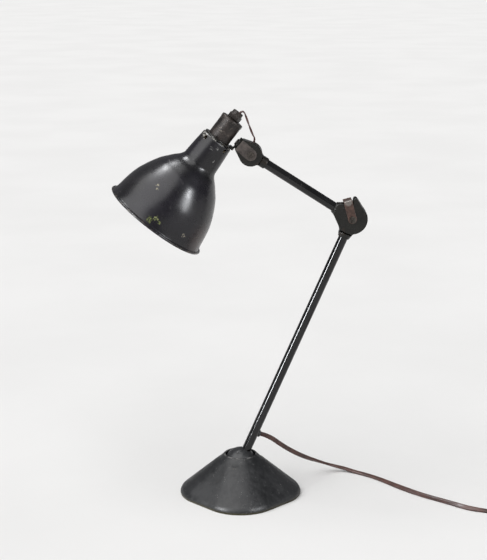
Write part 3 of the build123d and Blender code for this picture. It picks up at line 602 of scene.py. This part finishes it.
def shade_enamel():
    m, colour, rough, height = gloss_paint("shade_enamel", (0.004, 0.004, 0.005), (0.008, 0.007, 0.009),
                                           0.24, 0.33, (0.18, 0.15, 0.10), 0.30, 5.5,
                                           bluish=(0.008, 0.0065, 0.012))
    # chips seen in the photo, and two painted highlights on the neck (the grey spots at drops 8 and 13):
    # radius, turn and drop on the shade, size in mm, colour
    spots = [(68.0, -100, 129, 2.7, (0.17, 0.20, 0.06)), (66.6, -95, 123.5, 2.3, (0.30, 0.33, 0.14)),
             (66.9, -89, 124.5, 1.8, (0.20, 0.23, 0.08)), (57.6, -120, 89.5, 2.0, (0.42, 0.38, 0.26)),
             (59.5, -116, 93, 1.2, (0.30, 0.27, 0.18)), (66.5, -57, 122, 1.5, (0.40, 0.36, 0.28)),
             # the first two spots on this line are painted highlights on the neck, not chips
             (22.4, -75, 8, 1.2, (0.32, 0.32, 0.31)), (22.8, -92, 13, 1.0, (0.28, 0.28, 0.27)),
             (23.8, -58, 25.5, 0.9, (0.26, 0.26, 0.25))]
    broken = m.ramp(m.noise(620, 4, 0.7, seed=8.0), 0.47, 0.53)
    for r, turn, drop, size, tint in spots:
        patch = m.near(tuple(on_shade(r, turn, drop)), size * 1.45 * MM, 0.3, 0.010)
        colour = m.mix(m.math("MULTIPLY", patch, broken), colour, tint)
    up = m.along(SHADE)
    collar = m.math("MULTIPLY", m.ramp(up, -0.0034, -0.0016),
                    m.ramp(m.noise(190, 5, 0.7, seed=2.0), 0.49, 0.58))
    bare = m.math("MULTIPLY", m.near(tuple(on_shade(21.5, -150, 4)), 0.0075, 0.5, 0.004),
                  m.ramp(m.noise(300, 4, seed=2.0), 0.46, 0.56))
    colour = m.mix(m.math("MULTIPLY", m.most(collar, bare), 0.8), colour, (0.38, 0.37, 0.34))
    rim = m.math("MULTIPLY", m.ramp(up, -0.1362, -0.1345, 1.0, 0.0),
                 m.ramp(m.noise(150, 5, 0.7, seed=6.0), 0.50, 0.60))
    colour = m.mix(m.math("MULTIPLY", rim, 0.6), colour, (0.15, 0.13, 0.11))
    # a painted reflection: the bowl's lower right, which faces down, painted a soft warm brown
    brown = m.near(tuple(on_shade(66, -25, 118)), 0.034, 0.9, 0.02)
    colour = m.mix(m.math("MULTIPLY", brown, 0.55), colour, (0.055, 0.030, 0.024))
    return m.finish(colour, rough, height, 0.00008, specular=0.42)


def shade_inside():
    m = Nodes("shade_inside")
    stain = m.noise(24, 5, 0.6)
    colour = m.mix(m.ramp(stain, 0.35, 0.7), (0.70, 0.67, 0.57), (0.58, 0.52, 0.40))
    spots = specks(m, 160, 0.3, 0.42, 4.0)
    colour = m.mix(m.math("MULTIPLY", spots, 0.8), colour, (0.16, 0.11, 0.07))
    return m.finish(colour, m.ramp(stain, 0.3, 0.7, 0.28, 0.45), m.noise(120, 4), 0.00010)


def metal(name, a, b, rough_low, rough_high, spot=None, spots=0.4):
    m = Nodes(name)
    cloud = m.noise(70, 5, 0.6)
    colour = m.mix(m.ramp(cloud, 0.35, 0.65), a, b)
    if spot:
        colour = m.mix(m.math("MULTIPLY", specks(m, 420, 0.33, spots, 2.0), 0.85), colour, spot)
    fine = m.noise(300, 5, 0.7)
    rough = m.ramp(m.math("ADD", m.math("MULTIPLY", cloud, 0.6), m.math("MULTIPLY", fine, 0.4)), 0.35, 0.65,
                   rough_low, rough_high)
    return m.finish(colour, rough, fine, 0.00006, metal=1.0)


def holder_brass():
    m = Nodes("holder_brass")
    cloud = m.noise(90, 5, 0.65)
    colour = m.mix(m.ramp(cloud, 0.36, 0.64), (0.014, 0.011, 0.010), (0.036, 0.027, 0.023))
    dust = specks(m, 620, 0.24, 0.48, 1.3)
    colour = m.mix(m.math("MULTIPLY", dust, 0.55), colour, (0.24, 0.21, 0.17))
    rub = m.math("MULTIPLY", m.ramp(m.noise(170, 5, 0.7, seed=3.0), 0.56, 0.66), 0.35)
    colour = m.mix(rub, colour, (0.16, 0.13, 0.11))
    rough = m.math("ADD", m.ramp(cloud, 0.3, 0.7, 0.30, 0.46), m.math("MULTIPLY", dust, 0.15))
    pits = m.math("ADD", m.noise(480, 4), m.math("MULTIPLY", cloud, 0.8))
    return m.finish(colour, rough, pits, 0.00010, metal=0.35)


def strap_bronze():
    m = Nodes("strap_bronze")
    cloud = m.noise(110, 5, 0.65)
    colour = m.mix(m.ramp(cloud, 0.38, 0.62), (0.040, 0.020, 0.014), (0.085, 0.044, 0.032))
    worn = m.math("MULTIPLY", m.edges(), m.ramp(m.noise(220, 4), 0.4, 0.6))
    worn = m.most(m.math("MULTIPLY", worn, 0.6), m.math("MULTIPLY", specks(m, 520, 0.22, 0.42), 0.6))
    colour = m.mix(worn, colour, (0.30, 0.26, 0.23))
    # a painted highlight: the top of the strap's bend painted light grey
    painted_bend_highlight = m.near(tuple(STRAP @ Vector((0, -0.0105, 0.0245))), 0.0065, 0.35, 0.004)
    colour = m.mix(m.math("MULTIPLY", painted_bend_highlight, 0.65), colour, (0.23, 0.215, 0.20))
    return m.finish(colour, m.ramp(cloud, 0.3, 0.7, 0.36, 0.55), m.noise(520, 4), 0.00010, metal=0.3)


def plate_brown():
    m = Nodes("plate_brown")
    cloud = m.noise(130, 5, 0.7)
    colour = m.mix(m.ramp(cloud, 0.38, 0.62), (0.038, 0.029, 0.025), (0.085, 0.067, 0.058))
    pits = m.ramp(m.noise(520, 5, 0.75), 0.52, 0.66)
    colour = m.mix(m.math("MULTIPLY", pits, 0.6), colour, (0.024, 0.020, 0.018))
    return m.finish(colour, m.ramp(cloud, 0.3, 0.7, 0.45, 0.62), m.noise(600, 5), 0.00012, metal=0.2)


def felt():
    m = Nodes("felt")
    fibre = m.noise(900, 5, 0.8)
    colour = m.mix(m.ramp(fibre, 0.3, 0.7), (0.030, 0.029, 0.014), (0.095, 0.086, 0.042))
    made = m.finish(colour, 0.95, fibre, 0.0004, specular=0.2)
    m.shader.inputs["Sheen Weight"].default_value = 0.4
    return made


def flex(name, dark, light):
    """Rubber-covered flex, faintly ribbed and dusty."""
    m = Nodes(name)
    cloud = m.noise(70, 4, 0.6)
    colour = m.mix(m.ramp(cloud, 0.35, 0.65), dark, light)
    dust = m.ramp(m.noise(380, 4, 0.7), 0.56, 0.7)
    colour = m.mix(m.math("MULTIPLY", dust, 0.25), colour, (0.30, 0.21, 0.17))
    return m.finish(colour, m.ramp(m.noise(150, 4), 0.3, 0.7, 0.32, 0.48), m.noise(340, 3), 0.00010)


def moulded(name, dark, light, rough=0.3):
    m = Nodes(name)
    cloud = m.noise(45, 5, 0.6, distort=1.5)
    colour = m.mix(m.ramp(cloud, 0.38, 0.62), dark, light)
    scuff = m.ramp(m.noise(200, 5, 0.75, (1, 0.3, 0.6)), 0.6, 0.7)
    colour = m.mix(m.math("MULTIPLY", scuff, 0.25), colour, (0.2, 0.19, 0.18))
    return m.finish(colour, m.ramp(cloud, 0.3, 0.7, rough, rough + 0.12), m.noise(380, 3), 0.00005)


MATERIALS = {
    "base_paint": base_paint(),
    "ball_paint": ball_paint(),
    "arm_paint": arm_paint(),
    "joint_paint": joint_paint(),
    "shade_enamel": shade_enamel(),
    "felt": felt(),
    "zinc_steel": metal("zinc_steel", (0.42, 0.42, 0.43), (0.58, 0.58, 0.57), 0.32, 0.5,
                        spot=(0.2, 0.13, 0.08)),
    "spring_steel": metal("spring_steel", (0.22, 0.22, 0.24), (0.34, 0.34, 0.36), 0.25, 0.4),
    "raw_iron": metal("raw_iron", (0.14, 0.13, 0.12), (0.24, 0.22, 0.20), 0.4, 0.6, spot=(0.15, 0.07, 0.04)),
    "fibre": moulded("fibre", (0.16, 0.06, 0.04), (0.26, 0.11, 0.07), 0.5),
    "dark_screw": metal("dark_screw", (0.045, 0.040, 0.036), (0.10, 0.09, 0.08), 0.3, 0.5,
                        spot=(0.30, 0.26, 0.22), spots=0.5),
    "strap_bronze": strap_bronze(),
    "plate_brown": plate_brown(),
    "holder_brass": holder_brass(),
    "brass_parts": metal("brass_parts", (0.55, 0.38, 0.16), (0.72, 0.54, 0.27), 0.25, 0.42,
                         spot=(0.2, 0.12, 0.06)),
    "bakelite": moulded("bakelite", (0.022, 0.016, 0.013), (0.050, 0.032, 0.022)),
    "black_rubber": moulded("black_rubber", (0.014, 0.014, 0.014), (0.028, 0.027, 0.026), 0.5),
    "cord_brown": flex("cord_brown", (0.050, 0.020, 0.015), (0.092, 0.036, 0.027)),
    "lead_brown": flex("lead_brown", (0.058, 0.017, 0.014), (0.100, 0.032, 0.025)),
    "plug_shell": moulded("plug_shell", (0.020, 0.017, 0.016), (0.040, 0.030, 0.026)),
    "plug_rubber": moulded("plug_rubber", (0.018, 0.017, 0.016), (0.034, 0.031, 0.029), 0.45),
}
INSIDE = shade_inside()
for row in frame["record"]["subparts"]:
    dress(nodes[row["node"]], MATERIALS[row["material_slot"]])
SOFT_SLOTS = ((mains_flex, "cord_brown"), (head_flex, "lead_brown"), (coil_tie, "black_rubber"))
for piece, slot_name in SOFT_SLOTS:
    dress(piece, MATERIALS[slot_name])

floor_look = Nodes("floor_look")
grain = floor_look.noise(2.2, 4, 0.5)
pale = floor_look.mix(floor_look.ramp(grain, 0.3, 0.7), (0.80, 0.795, 0.785), (0.83, 0.825, 0.815))
floor_look.finish(pale, 0.9, floor_look.noise(60, 3), 0.0002, specular=0.0)
dress(floor, floor_look.material)

# ---------------------------------------------------------------- rebuilt pieces

def joined(name, parts):
    """One mesh object from several."""
    bm = bmesh.new()
    for part in parts:
        bm.from_mesh(part.data)
        bpy.data.objects.remove(part)
    mesh = bpy.data.meshes.new(name)
    bm.to_mesh(mesh)
    bm.free()
    for face in mesh.polygons:
        face.use_smooth = True
    return link(name, mesh)


def rounded_square(side_mm, corner, height, count=192):
    """Points around a square with round corners, one corner to the front, evenly spread by angle."""
    half = side_mm / 2
    corner = min(corner, half - 0.01)
    flat = half - corner
    loop = []
    for i in range(count):
        a = 2 * math.pi * i / count
        x, y = abs(math.cos(a)), abs(math.sin(a))
        big, small = max(x, y), min(x, y)
        r = half / big
        if small * r > flat:
            b = flat * (x + y)
            r = b + math.sqrt(max(0.0, b * b - 2 * flat * flat + corner * corner))
        turn = a + math.pi / 4
        loop.append(Vector((r * math.cos(turn), r * math.sin(turn), height)) * MM)
    return loop


SLOPE_FOOT, SLOPE_TOP = 7.0, 57.2   # heights where the base's slopes start and end
BASE_HALF, BASE_CORNER = 75.0, 54.0
LIP = 22.9


def base_corner(height):
    """The slopes' corners grow round toward the lip."""
    share = max(0.0, min(1.0, (height - SLOPE_FOOT) / (SLOPE_TOP - SLOPE_FOOT)))
    return BASE_CORNER + (LIP - BASE_CORNER) * share


def base_side_line():
    """The base's side as half widths and heights: edge, round shoulder, slope, lip and the ball's bore."""
    slope = Vector((LIP - BASE_HALF, SLOPE_TOP - SLOPE_FOOT)).normalized()
    shoulder = 4.2                        # how far the rounding reaches each way from the corner
    slope_long, slope_stop = 73.2, 69.0   # the lip's own rounding takes the last of the slope
    lean = math.acos(slope.y)
    turn_r = shoulder / math.tan(lean / 2)
    line = [(BASE_HALF - 0.5, 2.0), (BASE_HALF - 0.12, 2.2), (BASE_HALF, 2.6)]
    for k in range(13):
        a = lean * k / 12
        line.append((BASE_HALF - turn_r * (1 - math.cos(a)), SLOPE_FOOT - shoulder + turn_r * math.sin(a)))
    for k in range(1, 26):
        t = (shoulder + (slope_stop - shoulder) * k / 25) / slope_long
        line.append((BASE_HALF + (LIP - BASE_HALF) * t, SLOPE_FOOT + (SLOPE_TOP - SLOPE_FOOT) * t))
    lip = [(24.1, 56.2), (23.2, 57.1), (22.6, 57.65), (22.1, 57.92), (21.6, 58.0), (21.15, 57.9),
           (20.8, 57.55)]
    bore = [(20.62, 57.0), (20.6, 55.5), (20.6, 50), (20.6, 46), (22.5, 44), (22.6, 34.2)]
    return line + lip + bore


def build_base():
    """The cast base, hollow below, with the two bosses that hold the bridge plate."""
    boss_x = 34
    loops = []
    for half, height in base_side_line():
        is_square = half > 30   # higher up, the lip and the bore are round
        loops.append(rounded_square(2 * half, base_corner(height) if is_square else half, height))
    loops += [rounded_square(72, 24, 34), rounded_square(131, 44.5, 2.6), rounded_square(132, 45, 2.0)]
    shell = rings("base_shell", loops, wrap=True)
    boss_line = [(2.2, 8.2), (5.7, 8), (6, 8.3), (6, 34.6), (2.2, 34.6)]
    bosses = []
    for x in (-boss_x, boss_x):
        bosses.append(lathe("boss", Matrix.Translation(Vector((x, 0, 0)) * MM), boss_line, 32))
    base = joined("base_casting_look", [shell] + bosses)
    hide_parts("base_casting")
    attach(base, "base")
    dress(base, MATERIALS["base_paint"])


def moved_in(line, gap):
    """A line of (radius, height) points moved in by gap across its own direction."""
    made = []
    for i, (r, h) in enumerate(line):
        before, after = line[max(i - 1, 0)], line[min(i + 1, len(line) - 1)]
        way = Vector((after[0] - before[0], after[1] - before[1])).normalized()
        made.append((r + way.y * gap, h - way.x * gap))
    return made


SHEET = 0.8
COLLAR_R, COLLAR_TOP = 14.35, -1.05


def vent_cutter():
    """Four pins where the shade's vents are."""
    vent_r, vent_drop, vent_start, vent_run = 2.75, 6.5, 17, 10
    pins = []
    for k in range(4):
        a = math.radians(45 + 90 * k)
        way = Vector((math.cos(a), math.sin(a), 0))
        at = SHADE @ Matrix.Translation((way * vent_start - Vector((0, 0, vent_drop))) * MM)
        at = at @ way.to_track_quat("Z", "Y").to_matrix().to_4x4()
        pins.append(lathe("hole", at, [(vent_r, 0), (vent_r, vent_run)], 40, wrap=False))
    return joined("cutter", pins)


def build_shade():
    """Spun sheet with a rolled bead and four vents, enamelled black outside and cream inside."""
    around = 224
    side = [(22.05, -4.3), (22.9, -14), (23.75, -25), (24.6, -36), (25.15, -41), (28.4, -46.2), (34, -52),
            (40.6, -59.8), (47, -68), (54.7, -81.8), (61.3, -97), (65.2, -112), (67.8, -128),
            (69.25, -134.3)]
    outer = [(COLLAR_R, COLLAR_TOP), (19.3, COLLAR_TOP)] + arc(19.3, -3.75, 2.7, 78, 6, 7)
    outer += round_path(side, 7)
    inner = moved_in(outer, SHEET)
    inner[0] = (COLLAR_R, COLLAR_TOP - SHEET)
    bead = arc(70.9, -137, 1.7, 128, -196, 22)
    black_rows = len(outer) + 15   # the outside, and the bead as far as its foot
    shade = lathe("shade_look", SHADE, outer + bead + inner[::-1], around, wobble=0.22)
    for i, face in enumerate(shade.data.polygons):
        face.material_index = 0 if i // around < black_rows else 1
    cutter = vent_cutter()
    cut = shade.modifiers.new("cut", "BOOLEAN")
    cut.operation = "DIFFERENCE"
    cut.solver = "EXACT"
    cut.object = cutter
    shade.data.materials.append(MATERIALS["shade_enamel"])
    shade.data.materials.append(INSIDE)
    settle(shade)
    bpy.data.objects.remove(cutter)
    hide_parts("shade_shell")
    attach(shade, "shade")


def flared(at, small, start, big, end):
    """A solid of revolution on at's Z axis that swells from small to big on a smooth curve."""
    line = []
    for k in range(11):
        t = k / 10
        line.append((small + (big - small) * t * t * (3 - 2 * t), start + (end - start) * t))
    return lathe("flare", at, [(0.01, start)] + line + [(0.01, end)], 48, wrap=False)


def casting(node, body, voxel, smooth, material, extra=()):
    piece = cast_from(node + "_look", node, voxel, smooth, extra)
    dress(piece, MATERIALS[material])
    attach(piece, body)


def build_castings():
    """The hinge castings, two with necks that flare into their sockets, and the pressed strap and plate."""
    casting("lower_knuckle", "lower_arm", 0.42, 9, "joint_paint",
            [flared(LOWER_END, 7.9, -28.4, 9.7, -21.9)])
    casting("upper_fork", "upper_arm", 0.42, 9, "joint_paint", [flared(UPPER, 10.2, 20.9, 7.9, 28.4)])
    casting("elbow_strap", "upper_arm", 0.36, 6, "strap_bronze")
    casting("head_tongue", "upper_arm", 0.36, 8, "joint_paint")
    casting("head_block", "head", 0.40, 9, "joint_paint")
    casting("shade_carrier", "shade", 0.34, 6, "joint_paint")
    casting("blank_plate", "head", 0.26, 3, "plate_brown")


def build_cap():
    """The lampholder's cap, with a rounded edge."""
    line = [(13.2, 27.0), (15.5, 27.0), (15.85, 27.15), (15.9, 27.5), (15.9, 30.6), (15.8, 31.1),
            (15.5, 31.45), (15.0, 31.75), (12.5, 32.2), (9.6, 32.55), (7.6, 32.75), (6.9, 32.8),
            (6.5, 33.0), (6.5, 35.0), (3.0, 35.0), (3.0, 31.0), (13.2, 29.0)]
    cap = lathe("cap_look", SHADE, line, 120)
    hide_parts("lampholder_cap")
    dress(cap, MATERIALS["holder_brass"])
    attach(cap, "shade")


def build_gland():
    """The cord gland: a hexagon over the cap, with a round neck."""
    around, hexagon_over = 120, 8.0
    line = [(6.55, 33.1), (8.6, 33.1), (9.0, 33.5), (9.0, 38.4), (8.5, 39.2), (7.6, 39.7), (7.4, 43.4),
            (6.9, 44.0), (3.8, 44.0), (3.7, 43.2), (3.7, 36.0), (6.55, 35.1)]
    loops = []
    for r, h in line:
        sides = 6 if r > hexagon_over else 40
        loop = []
        for k in range(around):
            a = 2 * math.pi * k / around + 0.42
            flat = (a * sides / (2 * math.pi)) % 1.0 - 0.5
            shrink = math.cos(math.pi / sides) / math.cos(2 * math.pi / sides * flat)
            loop.append(SHADE @ (Vector((r * shrink * math.cos(a), r * shrink * math.sin(a), h)) * MM))
        loops.append(loop)
    gland = rings("gland_look", loops, wrap=True)
    for face in gland.data.polygons:
        face.use_smooth = False
    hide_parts("cord_gland")
    dress(gland, MATERIALS["holder_brass"])
    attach(gland, "shade")


build_base()
build_shade()
build_castings()
build_cap()
build_gland()
dress(nodes["barrel_screw"], MATERIALS["dark_screw"])

# how wide each hard CAD edge is rounded, in mm
SOFT_EDGES = {"lampholder_barrel": 0.35, "elbow_screw": 0.4, "head_screw": 0.35, "elbow_nut": 0.4,
              "head_nut": 0.35, "plug_cover": 1.6, "plug_face": 0.8, "plug_screw": 0.3,
              "plug_pins": 0.35, "barrel_screw": 0.2, "swivel_stem": 0.3, "shade_clamp_ring": 0.5,
              "bridge_plate": 0.3, "terminal_screws": 0.3}
for node_name, edge_width in SOFT_EDGES.items():
    soften(node_name, edge_width)
